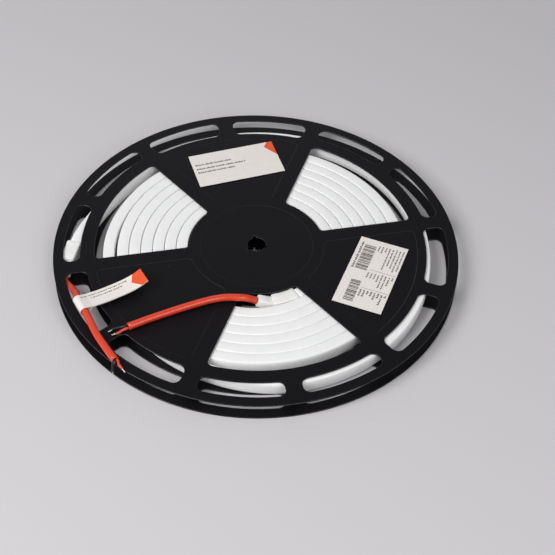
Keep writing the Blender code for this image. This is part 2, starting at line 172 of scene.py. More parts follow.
def fill(shape, loops):
    """The flat face inside the first loop and outside the others, in as few polygons as will do."""
    edges = [edge for loop in loops for edge in loop]
    faces = bmesh.ops.triangle_fill(shape, edges=edges, use_beauty=True)["geom"]
    faces = [f for f in faces if isinstance(f, bmesh.types.BMFace)]
    outline = set(edges)
    inner = [e for e in once(e for f in faces for e in f.edges) if e not in outline]
    verts = once(v for f in faces for v in f.verts)
    bmesh.ops.dissolve_limit(shape, angle_limit=radians(1), verts=verts, edges=inner)


def hub_hole():
    points = []
    half = asin(NOTCH_WIDTH / 2 / HOLE_RADIUS)
    for i in range(3):
        notch = SPOKE_ANGLE + pi / 2 + i * 2 * pi / 3
        points.append(polar(NOTCH_REACH, notch))
        points += arc(Vector(), HOLE_RADIUS, notch + half, notch + 2 * pi / 3 - half, 14)
    return points


def flange(name, outer_face, inward):
    """One side of the reel, built outer face up at zero, then mirrored if it is the lower one."""
    shape = bmesh.new()
    windows, panels, slots = [], [], []
    for i in range(6):
        middle = SPOKE_ANGLE + (2 * i + 1) * pi / 6
        outline = cell(WINDOW_INNER, WINDOW_OUTER, pi / 6, SPOKE_WIDTH, WINDOW_CORNER, middle)
        (panels if i % 2 else windows).append(edge_loop(shape, outline, 0))
        width = SLOT_BY_PANEL if i % 2 else SLOT_BY_WINDOW
        for turn in (middle - pi / 12, middle + pi / 12):
            outline = cell(SLOT_OUTER - width, SLOT_OUTER, pi / 12, BRIDGE_WIDTH, SLOT_CORNER, turn)
            slots.append(edge_loop(shape, outline, 0))
    rim = edge_loop(shape, arc(Vector(), REEL_RADIUS, 0, 2 * pi, 240)[:-1], 0)
    disc = edge_loop(shape, arc(Vector(), HUB_DISC_RADIUS, 0, 2 * pi, 120)[:-1], 0)
    step = edge_loop(shape, arc(Vector(), HUB_DISC_RADIUS - HUB_DISC_SLOPE, 0, 2 * pi, 120)[:-1], 0)
    hole = edge_loop(shape, hub_hole(), 0)
    fill(shape, [rim, disc] + windows + slots + panels)
    bmesh.ops.bridge_loops(shape, edges=disc + step)
    fill(shape, [step, hole])
    for loop in panels:
        bmesh.ops.contextual_create(shape, geom=loop)
    bmesh.ops.recalc_face_normals(shape, faces=shape.faces)
    if sum(f.normal.z for f in shape.faces) < 0:
        bmesh.ops.reverse_faces(shape, faces=shape.faces)
    top = list(shape.faces)
    lifted = bmesh.ops.extrude_face_region(shape, geom=top, use_keep_orig=True)["geom"]
    verts = [v for v in lifted if isinstance(v, bmesh.types.BMVert)]
    bmesh.ops.translate(shape, vec=(0, 0, FLANGE_THICKNESS), verts=verts)
    bmesh.ops.translate(shape, vec=(0, 0, -FLANGE_THICKNESS), verts=shape.verts)
    bmesh.ops.recalc_face_normals(shape, faces=shape.faces)
    rims = [e for e in shape.edges if len(e.link_faces) == 2 and e.calc_face_angle() > radians(60)]
    rims = [e for e in rims if abs(e.verts[0].co.z - e.verts[1].co.z) < 1e-6]
    rounded = bmesh.ops.bevel(shape, geom=rims, offset=EDGE_ROUND, offset_type="OFFSET", affect="EDGES",
                              segments=2, profile=0.5, material=-1, clamp_overlap=True)["faces"]
    upper = [f for f in shape.faces if f.normal.z > 0.99 and abs(f.calc_center_median().z) < 1e-6]
    within = {f: [hypot(v.co.x, v.co.y) for v in f.verts] for f in upper}
    for face in upper:
        if min(within[face]) > WINDOW_INNER - 0.001 and max(within[face]) < WINDOW_OUTER + 0.0005:
            rounded += bmesh.ops.inset_region(shape, faces=[face], thickness=PANEL_SLOPE,
                                              depth=-PANEL_RECESS, use_even_offset=True)["faces"]
    rounded += [f for f in upper if len(f.verts) == 4 and max(within[f]) < HUB_DISC_RADIUS + 0.0001
                and min(within[f]) > HUB_DISC_RADIUS - 0.0005]
    for vert in shape.verts:
        if vert.co.z > -1e-6 and hypot(vert.co.x, vert.co.y) < HUB_DISC_RADIUS - 0.0001:
            vert.co.z -= HUB_DISC_STEP
    # These faces take the polished edge finish, whose lighter colour is a painted highlight
    for face in rounded:
        face.material_index = 1
    for face in shape.faces:
        face.smooth = abs(face.normal.z) < 0.999
    drum = bmesh.ops.create_circle(shape, segments=144, radius=HUB_RADIUS)["verts"]
    bore = bmesh.ops.create_circle(shape, segments=144, radius=HUB_RADIUS - HUB_WALL)["verts"]
    ring = once(e for v in drum + bore for e in v.link_edges)
    made = bmesh.ops.bridge_loops(shape, edges=ring)["faces"]
    half = REEL_HEIGHT / 2 - FLANGE_THICKNESS - DRUM_GAP / 2
    extruded = bmesh.ops.extrude_face_region(shape, geom=made, use_keep_orig=True)["geom"]
    verts = [v for v in extruded if isinstance(v, bmesh.types.BMVert)]
    bmesh.ops.translate(shape, vec=(0, 0, -half - 0.0001), verts=verts)
    wall = drum + bore + verts
    bmesh.ops.translate(shape, vec=(0, 0, -FLANGE_THICKNESS + 0.0001), verts=wall)
    faces = once(f for v in wall for f in v.link_faces)
    bmesh.ops.recalc_face_normals(shape, faces=faces)
    for face in faces:
        face.smooth = abs(face.normal.z) < 0.5
    if inward > 0:
        bmesh.ops.scale(shape, vec=(1, 1, -1), verts=shape.verts)
        bmesh.ops.reverse_faces(shape, faces=shape.faces)
    bmesh.ops.translate(shape, vec=(0, 0, outer_face), verts=shape.verts)
    return show(name, shape, [polystyrene, polished_edge_and_painted_highlight],
                [name.replace("reel_", "flange_")])


# Black high-impact polystyrene from a spark-eroded mould: a deep neutral black with a soft, broad gloss,
# faint flow clouds and a few specks of dust.
polystyrene, shader, place = finish_with("black_moulded_polystyrene", "#100f12", 0.42)
shader.inputs["IOR"].default_value = 1.50
shader.inputs["Specular IOR Level"].default_value = 0.16
clouds = add_node(polystyrene, "ShaderNodeTexNoise", {"Scale": 16.0, "Detail": 4.0, "Roughness": 0.6},
                  {"Vector": place}).outputs["Fac"]
# Specks of dust, up to a millimetre across, on one cell in six of a 9 mm net
cells = add_node(polystyrene, "ShaderNodeTexVoronoi", {"Scale": 110.0, "Randomness": 1.0},
                 {"Vector": place})
chosen = add_node(polystyrene, "ShaderNodeSeparateColor", {},
                  {"Color": cells.outputs["Color"]}).outputs["Red"]
small = add_node(polystyrene, "ShaderNodeMapRange", {"From Min": 0.055, "From Max": 0.03},
                 {"Value": cells.outputs["Distance"]}).outputs["Result"]
rare = add_node(polystyrene, "ShaderNodeMath", {"operation": "GREATER_THAN", 1: 0.84},
                {0: chosen}).outputs[0]
dust = add_node(polystyrene, "ShaderNodeMath", {"operation": "MULTIPLY"}, {0: small, 1: rare}).outputs[0]
dust = add_node(polystyrene, "ShaderNodeMath", {"operation": "MULTIPLY", 1: 0.25}, {0: dust}).outputs[0]
body = add_node(polystyrene, "ShaderNodeMix",
                {"data_type": "RGBA", 6: linear("#0f0d11"), 7: linear("#131115")}, {0: clouds}).outputs[2]
dusty = add_node(polystyrene, "ShaderNodeMix", {"data_type": "RGBA", 7: linear("#8e8c8a")},
                 {0: dust, 6: body}).outputs[2]
gloss = add_node(polystyrene, "ShaderNodeMapRange", {"To Min": 0.36, "To Max": 0.50},
                 {"Value": clouds}).outputs["Result"]
# The mould's spark-eroded grain is near a tenth of a millimetre, drawn here at half a millimetre to show
grain = add_node(polystyrene, "ShaderNodeTexNoise", {"Scale": 2000.0, "Detail": 2.0}, {"Vector": place})
bump = add_node(polystyrene, "ShaderNodeBump", {"Strength": 0.15, "Distance": 0.00005},
                {"Height": grain.outputs["Fac"]})
polystyrene.node_tree.links.new(dusty, shader.inputs["Base Color"])
polystyrene.node_tree.links.new(gloss, shader.inputs["Roughness"])
polystyrene.node_tree.links.new(bump.outputs["Normal"], shader.inputs["Normal"])

# The same plastic on the rounded rims and panel slopes, where the mould is polished; its lighter tone is
# painted highlight
polished_edge_and_painted_highlight, shader, place = finish_with("polished_polystyrene_edge", "#1a181c", 0.26)
shader.inputs["IOR"].default_value = 1.58
rub = add_node(polished_edge_and_painted_highlight, "ShaderNodeTexNoise", {"Scale": 140.0, "Detail": 3.0},
               {"Vector": place}).outputs["Fac"]
gloss = add_node(polished_edge_and_painted_highlight, "ShaderNodeMapRange", {"To Min": 0.20, "To Max": 0.36},
                 {"Value": rub}).outputs["Result"]
polished_edge_and_painted_highlight.node_tree.links.new(gloss, shader.inputs["Roughness"])
flange("reel_lower", 0.0, 1)
flange("reel_upper", REEL_HEIGHT, -1)

# Strip
# One length of LED tape inside extruded milky silicone, wound from the drum outwards. Its back and sides are
# flat and its front is a soft dome. Each turn climbs onto the last under the same closed panel.
STRIP_WIDTH = 0.0128
STRIP_DEPTH = 0.0101
STRIP_MIDDLE = FLANGE_THICKNESS + 0.0003 + STRIP_WIDTH / 2
FIRST_TURN = 0.06475
TURN_PITCH = 0.0102
STRIP_START = 303.8
CLIMB_START = 198.0
CLIMB_END = 248.0
LOOSE_TURN = [(234, 0.0), (244, 0.0019), (256, 0.0056), (270, 0.0102), (283, 0.0130), (300, 0.0138),
              (320, 0.0132), (348, 0.0107), (368, 0.0102), (390, 0.0114), (415, 0.0128), (445, 0.0120),
              (480, 0.0090), (503, 0.0080), (516, 0.0089), (528, 0.0133)]
CAP_DEPTH = 0.0126
OUTER_CAP_START = radians(180.9)
OUTER_CAP_AHEAD = polar(1, OUTER_CAP_START + pi / 2 - radians(11))
OUTER_CAP_ROOT = polar(SLOT_OUTER - SLOT_BY_WINDOW / 2 - 0.0010, OUTER_CAP_START, REEL_HEIGHT / 2)


def between(a, b, value):
    """0 before a, 1 after b and a smooth step between them."""
    t = min(1.0, max(0.0, (value - a) / (b - a)))
    return t * t * (3 - 2 * t)


def through(route, value):
    """The height at a value of a smooth curve through the route's (value, height) pairs."""
    i = max([k for k in range(len(route) - 1) if route[k][0] <= value] or [0])
    before, here, there = route[max(i - 1, 0)], route[i], route[i + 1]
    after = route[min(i + 2, len(route) - 1)]
    span = there[0] - here[0]
    leaving = (there[1] - before[1]) / (there[0] - before[0]) * span
    arriving = (after[1] - here[1]) / (after[0] - here[0]) * span
    t = (value - here[0]) / span
    return ((2 * t**3 - 3 * t**2 + 1) * here[1] + (t**3 - 2 * t**2 + t) * leaving
            + (3 * t**2 - 2 * t**3) * there[1] + (t**3 - t**2) * arriving)


seated = FIRST_TURN + 7 * TURN_PITCH
outward = Vector((OUTER_CAP_AHEAD.y, -OUTER_CAP_AHEAD.x, 0))
strip_end = OUTER_CAP_ROOT - outward * (CAP_DEPTH - STRIP_DEPTH) / 2 + OUTER_CAP_AHEAD * 0.004
loose = list(LOOSE_TURN)
for point in (strip_end - OUTER_CAP_AHEAD * 0.014, strip_end):
    loose.append((degrees(atan2(point.y, point.x)) % 360 + 360, hypot(point.x, point.y) - seated))
STRIP_END = loose[-1][0] + 7 * 360


def strip_radius(angle):
    """Radius of the strip's middle at an angle counted on from turn to turn, in degrees."""
    turn = (angle - CLIMB_START) // 360
    climb = between(CLIMB_START, CLIMB_END, CLIMB_START + (angle - CLIMB_START) % 360)
    wound = min(turn, 7) - 1 + climb if turn > 0 else 0
    radius = FIRST_TURN + TURN_PITCH * max(0, wound)
    place = CLIMB_START + (angle - CLIMB_START) % 360
    if 1 <= turn <= 6:
        # Past the climb the turns stand off a little, the inner ones most
        stand_off = between(CLIMB_START, CLIMB_END, place) * (1 - between(262, 306, place))
        radius += 0.0004 * (7 - turn) * stand_off
    if turn == 6:
        radius += 0.0020 * between(510, 548, place)
    if turn == 7:
        radius += 0.0020 * (1 - climb)
        if place >= loose[0][0]:
            radius += through(loose, place)
    return radius


def strip_profile():
    """The section: outward from the strip's middle, and up."""
    half_depth, half_width = STRIP_DEPTH / 2, STRIP_WIDTH / 2
    points = []
    for i in range(4):
        turn = pi + pi / 2 * i / 3
        points.append((-half_depth + 0.0007 + 0.0007 * cos(turn),
                       -half_width + 0.0007 + 0.0007 * sin(turn)))
    points.append((half_depth - 0.0055, -half_width))
    for i in range(15):
        turn = -pi / 2 + pi * i / 14
        bulge = abs(cos(turn)) ** 0.55
        rise = (abs(sin(turn)) ** 0.55) * (1 if sin(turn) > 0 else -1)
        points.append((half_depth - 0.0020 + 0.0020 * bulge, half_width * rise))
    points += [(x, -z) for x, z in reversed(points[:5])]
    return points


shape = bmesh.new()
profile = strip_profile()
outline = edge_loop(shape, [Vector((x, 0, 0)) for x, _ in profile], 0)
section = [v for v in shape.verts]
for vert, (x, z) in zip(section, profile):
    vert.co = (x + 1.0, 0, z)
turning = radians(STRIP_END - STRIP_START)
steps = ceil(degrees(turning) / 2.5)
bmesh.ops.spin(shape, geom=section + outline, cent=(0, 0, 0), axis=(0, 0, 1), angle=turning, steps=steps)
shape.verts.ensure_lookup_table()
shape.verts.index_update()
stations = []
for i in range(steps + 1):
    angle = STRIP_START + (STRIP_END - STRIP_START) * i / steps
    here = polar(strip_radius(angle), radians(angle))
    ahead = (polar(strip_radius(angle + 0.5), radians(angle + 0.5))
             - polar(strip_radius(angle - 0.5), radians(angle - 0.5))).normalized()
    stations.append((here, Vector((ahead.y, -ahead.x, 0))))
for i, vert in enumerate(shape.verts):
    here, outward = stations[i // len(profile)]
    offset = hypot(vert.co.x, vert.co.y) - 1.0
    vert.co = here + outward * offset + Vector((0, 0, STRIP_MIDDLE + vert.co.z))
ends = [e for e in shape.edges if len(e.link_faces) == 1]
bmesh.ops.edgeloop_fill(shape, edges=ends)
bmesh.ops.recalc_face_normals(shape, faces=shape.faces)
for face in shape.faces:
    face.smooth = len(face.verts) == 4

# Extruded milky silicone: white and faintly translucent, with a silky skin and slight clouds in its tone.
silicone, shader, place = finish_with("extruded_milky_silicone", "#f3f3f2", 0.42)
shader.inputs["IOR"].default_value = 1.42
shader.inputs["Subsurface Weight"].default_value = 0.35
shader.inputs["Subsurface Radius"].default_value = (1.0, 0.95, 0.9)
shader.inputs["Subsurface Scale"].default_value = 0.0015
milk = add_node(silicone, "ShaderNodeTexNoise", {"Scale": 45.0, "Detail": 3.0},
                {"Vector": place}).outputs["Fac"]
tone = add_node(silicone, "ShaderNodeMix",
                {"data_type": "RGBA", 6: linear("#efefee"), 7: linear("#f6f6f5")}, {0: milk}).outputs[2]
sheen = add_node(silicone, "ShaderNodeMapRange", {"To Min": 0.36, "To Max": 0.50},
                 {"Value": milk}).outputs["Result"]
# Talc and fine dust cling to the skin in patches of about a millimetre
skin = add_node(silicone, "ShaderNodeTexNoise", {"Scale": 900.0, "Detail": 3.0}, {"Vector": place})
bump = add_node(silicone, "ShaderNodeBump", {"Strength": 0.12, "Distance": 0.00006},
                {"Height": skin.outputs["Fac"]})
silicone.node_tree.links.new(tone, shader.inputs["Base Color"])
silicone.node_tree.links.new(sheen, shader.inputs["Roughness"])
silicone.node_tree.links.new(bump.outputs["Normal"], shader.inputs["Normal"])
show("wound_strip", shape, [silicone],
     ["strip_coil", "strip_inner_turn", "strip_outer_turn"])

# End caps
# Moulded silicone caps glued over the strip's two ends: a block with a collar at its mouth, and a square neck
# that grips the lead. The inner one curves with the drum, and the outer one points out of the channel.
CAP_HEIGHT = 0.0132
CAP_LENGTH = 0.0215
NECK = 0.0088
NECK_END = 0.0080
INNER_CAP_RADIUS = HUB_RADIUS + 0.0003 + CAP_DEPTH / 2
INNER_SPIGOT_TIP = polar(HUB_RADIUS + 0.0065, radians(-87.46), REEL_HEIGHT - 0.0026)
OUTER_SPIGOT_TIP = Vector((-0.1617, -0.0369, REEL_HEIGHT - 0.0081))


def section_ring(shape, centre, outward, upward, depth, height, corner):
    """A rounded rectangle, from a square whose corners are rounded by a bevel."""
    verts = bmesh.ops.create_grid(shape, x_segments=1, y_segments=1, size=0.5)["verts"]
    bmesh.ops.scale(shape, vec=(depth, height, 1), verts=verts)
    bevelled = bmesh.ops.bevel(shape, geom=verts, offset=corner, offset_type="OFFSET", affect="VERTICES",
                               segments=4, profile=0.5, material=-1)
    verts = once([v for f in bevelled["faces"] for v in f.verts] + bevelled["verts"])
    face = verts[0].link_faces[0]
    verts = list(face.verts)
    axes = Matrix((outward, upward, outward.cross(upward))).transposed()
    for vert in verts:
        vert.co = centre + axes @ vert.co
    edges = list(face.edges)
    bmesh.ops.delete(shape, geom=[face], context="FACES_ONLY")
    return edges


def loft(shape, rings):
    """A closed skin through the rings, its ends shut."""
    for first, second in zip(rings, rings[1:]):
        bmesh.ops.bridge_loops(shape, edges=first + second)
    for ring in (rings[0], rings[-1]):
        bmesh.ops.edgeloop_fill(shape, edges=ring)


def end_cap(name, stations, tip, node):
    """Body and collar through the stations of (centre, outward), then the neck to its tip."""
    shape = bmesh.new()
    upward = Vector((0, 0, 1))
    sizes = [(0.0, 0.0006), (0.06, 0.0), (0.16, 0.0), (0.20, 0.0005), (0.25, 0.0006), (0.6, 0.0006),
             (0.95, 0.0007), (1.0, 0.0016)]
    rings = []
    for share, less in sizes:
        i = min(int(share * (len(stations) - 1)), len(stations) - 2)
        t = share * (len(stations) - 1) - i
        centre = stations[i][0].lerp(stations[i + 1][0], t)
        outward = stations[i][1].lerp(stations[i + 1][1], t).normalized()
        rings.append(section_ring(shape, centre, outward, upward, CAP_DEPTH - less, CAP_HEIGHT - less,
                                  0.0014))
    loft(shape, rings)
    root, across = stations[-1]
    along = (tip - root).normalized()
    start = root + along * -0.001
    tip_across = along.cross(upward).normalized()
    if tip_across.dot(across) < 0:
        tip_across.negate()
    tip_up = tip_across.cross(along)
    if tip_up.z < 0:
        tip_up.negate()
    neck = [section_ring(shape, start, across, upward, NECK, NECK, 0.0012)]
    for share, size in ((0.25, NECK), (0.96, NECK_END), (1.0, NECK_END - 0.0008)):
        neck.append(section_ring(shape, start.lerp(tip, share), tip_across, tip_up, size, size, 0.0012))
    loft(shape, neck)
    bmesh.ops.recalc_face_normals(shape, faces=shape.faces)
    for face in shape.faces:
        face.smooth = True
    cap = show(name, shape, [cap_silicone], [node])
    cap.data.set_sharp_from_angle(angle=radians(38))
    return along


# Injection-moulded silicone: a shade warmer and glossier than the strip's, with soft edges.
cap_silicone, shader, place = finish_with("moulded_cap_silicone", "#efeeeb", 0.36)
shader.inputs["IOR"].default_value = 1.42
shader.inputs["Subsurface Weight"].default_value = 0.3
shader.inputs["Subsurface Radius"].default_value = (1.0, 0.95, 0.88)
shader.inputs["Subsurface Scale"].default_value = 0.0015
cloud = add_node(cap_silicone, "ShaderNodeTexNoise", {"Scale": 220.0, "Detail": 3.0},
                 {"Vector": place}).outputs["Fac"]
tone = add_node(cap_silicone, "ShaderNodeMix",
                {"data_type": "RGBA", 6: linear("#e9e8e4"), 7: linear("#f2f1ee")}, {0: cloud}).outputs[2]
bump = add_node(cap_silicone, "ShaderNodeBump", {"Strength": 0.2, "Distance": 0.0001}, {"Height": cloud})
cap_silicone.node_tree.links.new(tone, shader.inputs["Base Color"])
cap_silicone.node_tree.links.new(bump.outputs["Normal"], shader.inputs["Normal"])

start = radians(STRIP_START) - 0.0003 / INNER_CAP_RADIUS
curve = [start - CAP_LENGTH / INNER_CAP_RADIUS * i / 12 for i in range(13)]
inner_along = end_cap("end_cap_by_drum", [(polar(INNER_CAP_RADIUS, t, REEL_HEIGHT / 2),
                                           polar(1, t)) for t in curve],
                      INNER_SPIGOT_TIP, "end_cap_inner")
outward = Vector((OUTER_CAP_AHEAD.y, -OUTER_CAP_AHEAD.x, 0))
outer_along = end_cap("end_cap_at_rim", [(OUTER_CAP_ROOT + OUTER_CAP_AHEAD * CAP_LENGTH * i / 4, outward)
                                         for i in range(5)], OUTER_SPIGOT_TIP, "end_cap_outer")

# Leads
# A soft red silicone sheath runs from each cap, over the upper flange. Two thin insulated wires, black and
# red, come out of its cut end, each with a short twisted and tinned tip.
SHEATH_RADIUS = 0.0031
CORE_RADIUS = 0.0011
TIP_LENGTH = 0.0040
INNER_LEAD = [(-0.0057, -0.0650, 0.0019), (-0.0112, -0.0661, 0.0034), (-0.0236, -0.0667, 0.0034),
              (-0.0359, -0.0700, 0.0034), (-0.0478, -0.0751, 0.0034), (-0.0598, -0.0807, 0.0034),
              (-0.0716, -0.0867, 0.0034), (-0.0832, -0.0927, 0.0034), (-0.0925, -0.0980, 0.0034),
              (-0.1000, -0.1022, 0.0034)]
INNER_BLACK = [(-0.1049, -0.1022, 0.0026), (-0.1122, -0.1037, 0.0014), (-0.1158, -0.1070, 0.0014)]
INNER_RED = [(-0.1039, -0.1054, 0.0026), (-0.1076, -0.1077, 0.0014), (-0.1124, -0.1100, 0.0014)]
OUTER_LEAD = [(-0.1577, -0.0501, -0.0056), (-0.1514, -0.0587, -0.0026), (-0.1472, -0.0668, 0.0018),
              (-0.1449, -0.0749, 0.0044), (-0.1407, -0.0818, 0.0044), (-0.1365, -0.0887, 0.0044),
              (-0.1300, -0.1008, 0.0036), (-0.1238, -0.1122, 0.0034), (-0.1150, -0.1253, 0.0034),
              (-0.1064, -0.1371, 0.0034)]
OUTER_BLACK = [(-0.1078, -0.1396, 0.0022), (-0.1082, -0.1421, -0.0030), (-0.1082, -0.1423, -0.0085)]
OUTER_RED = [(-0.1033, -0.1405, 0.0032), (-0.1006, -0.1441, 0.0024), (-0.0974, -0.1478, 0.0014)]


def smooth_route(points, spacing):
    """Evenly spaced points along a smooth curve through the given ones."""
    slopes = [(points[min(i + 1, len(points) - 1)] - points[max(i - 1, 0)]).normalized()
              for i in range(len(points))]
    dense = [points[0]]
    for i in range(len(points) - 1):
        reach = (points[i + 1] - points[i]).length / 3
        dense += interpolate_bezier(points[i], points[i] + slopes[i] * reach,
                                    points[i + 1] - slopes[i + 1] * reach, points[i + 1], 24)[1:]
    length = sum((b - a).length for a, b in zip(dense, dense[1:]))
    count = max(2, round(length / spacing))
    route, travelled = [dense[0]], 0.0
    for a, b in zip(dense, dense[1:]):
        step = (b - a).length
        while len(route) < count and travelled + step >= length * len(route) / count:
            route.append(a.lerp(b, (length * len(route) / count - travelled) / step))
        travelled += step
    return route + [dense[-1]]


def tube(shape, path, radius, segments, hollow=0.0):
    """A round tube along a path; its far end may be hollowed to a depth."""
    rings = []
    for i, point in enumerate(path):
        ahead = (path[min(i + 1, len(path) - 1)] - path[max(i - 1, 0)]).normalized()
        aside = ahead.cross(Vector((0, 0, 1))).normalized()
        axes = Matrix((aside, aside.cross(ahead), ahead)).transposed().to_4x4()
        verts = bmesh.ops.create_circle(shape, segments=segments, radius=radius,
                                        matrix=Matrix.Translation(point) @ axes)["verts"]
        rings.append(once(e for v in verts for e in v.link_edges))
    for first, second in zip(rings, rings[1:]):
        bmesh.ops.bridge_loops(shape, edges=first + second)
    bmesh.ops.edgeloop_fill(shape, edges=rings[0])
    end = bmesh.ops.edgeloop_fill(shape, edges=rings[-1])["faces"]
    if hollow:
        bmesh.ops.recalc_face_normals(shape, faces=shape.faces)
        bmesh.ops.inset_region(shape, faces=end, thickness=radius * 0.28, depth=0)
        core = bmesh.ops.extrude_discrete_faces(shape, faces=end)["faces"]
        bmesh.ops.inset_region(shape, faces=core, thickness=0.0001, depth=-hollow)
        for face in core:
            face.material_index = 1


def lead(side, spigot_tip, along, sheath_route, core_routes, carried):
    """Sheath, wires and tips, each shown as a piece of its own; what is carried on the cord is only gathered
    in a list with them.
    """
    points = [spigot_tip + along * 0.0003, spigot_tip + along * 1.5 * SHEATH_RADIUS]
    points += [Vector((x, y, REEL_HEIGHT + z)) for x, y, z in sheath_route]
    path = smooth_route(points, 0.0025)
    shape = bmesh.new()
    tube(shape, path, SHEATH_RADIUS, 20, 0.0012)
    bmesh.ops.recalc_face_normals(shape, faces=shape.faces)
    for face in shape.faces:
        face.smooth = len(face.verts) == 4
    sheath = show(f"{side}_lead_sheath", shape, [sheath_rubber, dark_mouth],
                  [f"lead_{side}_sheath"])
    mouth = points[-1]
    ahead = (points[-1] - points[-2]).normalized()
    aside = ahead.cross(Vector((0, 0, 1))).normalized()
    going = list(carried)
    for colour, core_route, step, finish, slot in core_routes:
        start = mouth + ahead * 0.0003 + aside * step
        spots = [start, start + ahead * 2 * CORE_RADIUS]
        spots += [Vector((x, y, REEL_HEIGHT + z)) for x, y, z in core_route]
        backward = (spots[-2] - spots[-1]).normalized()
        shape = bmesh.new()
        tube(shape, smooth_route(spots[:-1] + [spots[-1] + backward * TIP_LENGTH], 0.0012), CORE_RADIUS, 12)
        bmesh.ops.recalc_face_normals(shape, faces=shape.faces)
        for face in shape.faces:
            face.smooth = len(face.verts) == 4
        going.append(show(f"{side}_lead_{colour}_wire", shape, [finish],
                          [f"lead_{side}_core_{colour}"]))
        shape = bmesh.new()
        side_a = backward.cross(Vector((0.3, 0.2, 0.9))).normalized()
        side_b = backward.cross(side_a)
        for strand in range(3):
            twist = []
            for i in range(13):
                t = i / 12 * 2.4 * pi + strand * 2 * pi / 3
                from_end = TIP_LENGTH * (1 - i / 12)
                twist.append(spots[-1] + backward * from_end + (side_a * cos(t) + side_b * sin(t)) * 0.00032)
            tube(shape, twist, 0.00034, 7)
        bmesh.ops.recalc_face_normals(shape, faces=shape.faces)
        for face in shape.faces:
            face.smooth = True
        going.append(show(f"{side}_lead_{colour}_tip", shape, [tinned],
                          [f"lead_{side}_tip_{colour}"]))


# Red silicone tubing: soft, slightly uneven in tone, with a glossy skin that shows a highlight along its top.
sheath_rubber, shader, place = finish_with("red_silicone_tubing", "#d9442c", 0.30)
shader.inputs["IOR"].default_value = 1.42
shader.inputs["Coat Weight"].default_value = 0.5
shader.inputs["Coat Roughness"].default_value = 0.18
shader.inputs["Subsurface Weight"].default_value = 0.12
shader.inputs["Subsurface Radius"].default_value = (1.0, 0.25, 0.1)
shader.inputs["Subsurface Scale"].default_value = 0.0010
patches = add_node(sheath_rubber, "ShaderNodeTexNoise", {"Scale": 260.0, "Detail": 4.0, "Roughness": 0.6},
                   {"Vector": place}).outputs["Fac"]
tone = add_node(sheath_rubber, "ShaderNodeMix",
                {"data_type": "RGBA", 6: linear("#cb3a22"), 7: linear("#ea4a2b")}, {0: patches}).outputs[2]
bump = add_node(sheath_rubber, "ShaderNodeBump", {"Strength": 0.25, "Distance": 0.0001},
                {"Height": patches})
sheath_rubber.node_tree.links.new(tone, shader.inputs["Base Color"])
sheath_rubber.node_tree.links.new(bump.outputs["Normal"], shader.inputs["Normal"])

# The shaded inside of the tubing's cut end
dark_mouth, shader, place = finish_with("tubing_inside", "#3a1410", 0.7)
inside = add_node(dark_mouth, "ShaderNodeTexNoise", {"Scale": 900.0}, {"Vector": place}).outputs["Fac"]
tone = add_node(dark_mouth, "ShaderNodeMix",
                {"data_type": "RGBA", 6: linear("#2a0f0c"), 7: linear("#4a1a14")}, {0: inside}).outputs[2]
dark_mouth.node_tree.links.new(tone, shader.inputs["Base Color"])

# Thin silicone wire insulation, black and red, with a satin skin
black_wire, shader, place = finish_with("black_wire_insulation", "#1b1a1a", 0.4)
mottle = add_node(black_wire, "ShaderNodeTexNoise", {"Scale": 700.0}, {"Vector": place}).outputs["Fac"]
tone = add_node(black_wire, "ShaderNodeMix",
                {"data_type": "RGBA", 6: linear("#151414"), 7: linear("#242222")}, {0: mottle}).outputs[2]
black_wire.node_tree.links.new(tone, shader.inputs["Base Color"])
red_wire, shader, place = finish_with("red_wire_insulation", "#d24a34", 0.4)
mottle = add_node(red_wire, "ShaderNodeTexNoise", {"Scale": 700.0}, {"Vector": place}).outputs["Fac"]
tone = add_node(red_wire, "ShaderNodeMix",
                {"data_type": "RGBA", 6: linear("#c64430"), 7: linear("#dc523a")}, {0: mottle}).outputs[2]
red_wire.node_tree.links.new(tone, shader.inputs["Base Color"])

# Copper strands dipped in solder: bright, uneven tin
tinned, shader, place = finish_with("tinned_copper_strands", "#d8d6d2", 0.28)
shader.inputs["Metallic"].default_value = 1.0
solder = add_node(tinned, "ShaderNodeTexNoise", {"Scale": 2500.0, "Detail": 2.0},
                  {"Vector": place}).outputs["Fac"]
gleam = add_node(tinned, "ShaderNodeMapRange", {"To Min": 0.18, "To Max": 0.42},
                 {"Value": solder}).outputs["Result"]
tinned.node_tree.links.new(gleam, shader.inputs["Roughness"])

core_step = CORE_RADIUS + 0.0003
lead("inner", INNER_SPIGOT_TIP, inner_along, INNER_LEAD,
     [("black", INNER_BLACK, core_step, black_wire, "black_insulation"),
      ("red", INNER_RED, -core_step, red_wire, "red_insulation")], [])

# Labels
# Two paper labels lie on recessed panels of the upper flange, and a longer strip of the same paper is folded
# round the outer lead as a flag. Their print is plain bars and blocks, cut into the paper's top face.
PAPER = 0.0003
LABEL_LENGTH = 0.0808
LABEL_WIDTH = 0.0428
LABEL_TOP = REEL_HEIGHT + 0.0005
# How far each label's middle lies inside the panel's outer edge, at what angle, and its own turn
FAR_LABEL = (0.0343, radians(102.4), radians(19.2))
SIDE_LABEL = (0.0366, radians(-17.6), radians(70.8))
FLAG_WIDTH = 0.0155
FLAG_LAYER = 0.0003
FLAG_LOOP_ROOM = 0.00085
FLAG_HEADING = radians(31.5)
FLAG_TAIL = [(0.0075, 0.0016), (0.0220, 0.0008), (0.0400, 0.0016), (0.0500, 0.0036), (0.0575, 0.0068)]
STROKE = 0.0004
OVERHANG = 0.0001
BLACK_INK, ORANGE_INK = 1, 2


def block(near, far, low, high):
    return [(near, low), (far, low), (far, high), (near, high)]


def text_row(start, end, middle, height):
    """A row of letter-like strokes between two places, with a wider gap after each word."""
    strokes, place, count = [], round(start / STROKE), 0
    while place < round(end / STROKE) - 2:
        wide = 3 if (count * 5) % 7 < 3 else 2
        tall = height * (1.0 if (count * 3) % 5 < 2 else 0.72)
        outline = block(place * STROKE, (place + wide) * STROKE, middle - height / 2,
                        middle - height / 2 + tall)
        strokes.append((outline, BLACK_INK))
        place += wide + (3 if count % 6 == 5 else 1)
        count += 1
    return strokes


